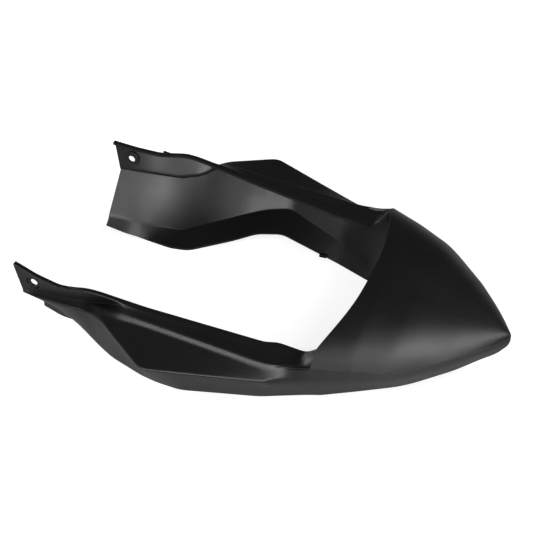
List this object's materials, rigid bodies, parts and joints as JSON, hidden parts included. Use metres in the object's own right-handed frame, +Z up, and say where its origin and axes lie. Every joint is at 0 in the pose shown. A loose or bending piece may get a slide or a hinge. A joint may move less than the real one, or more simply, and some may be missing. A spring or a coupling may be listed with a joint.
{
  "type": "motorcycle tail fairing",
  "caption": "One-piece moulded tail fairing: two arms run along the seat, bolt to the frame at the front and join behind it in a low hump that ends in a blunt tail.",
  "frame": {"origin": "bottom centre of the bounding box: on the plane it rests on, midway between the arm tips and the tail, on the middle plane", "axes": "+X towards the tail, +Y towards the arm that is on the rider's right when the seat is in use, +Z up"},
  "size_m": [0.493, 0.3816, 0.0989],
  "materials": {
    "moulding": "finely grained, satin black"
  },
  "bodies": {
    "root": {"tail_fairing": "moulding"}
  },
  "joints": []
}
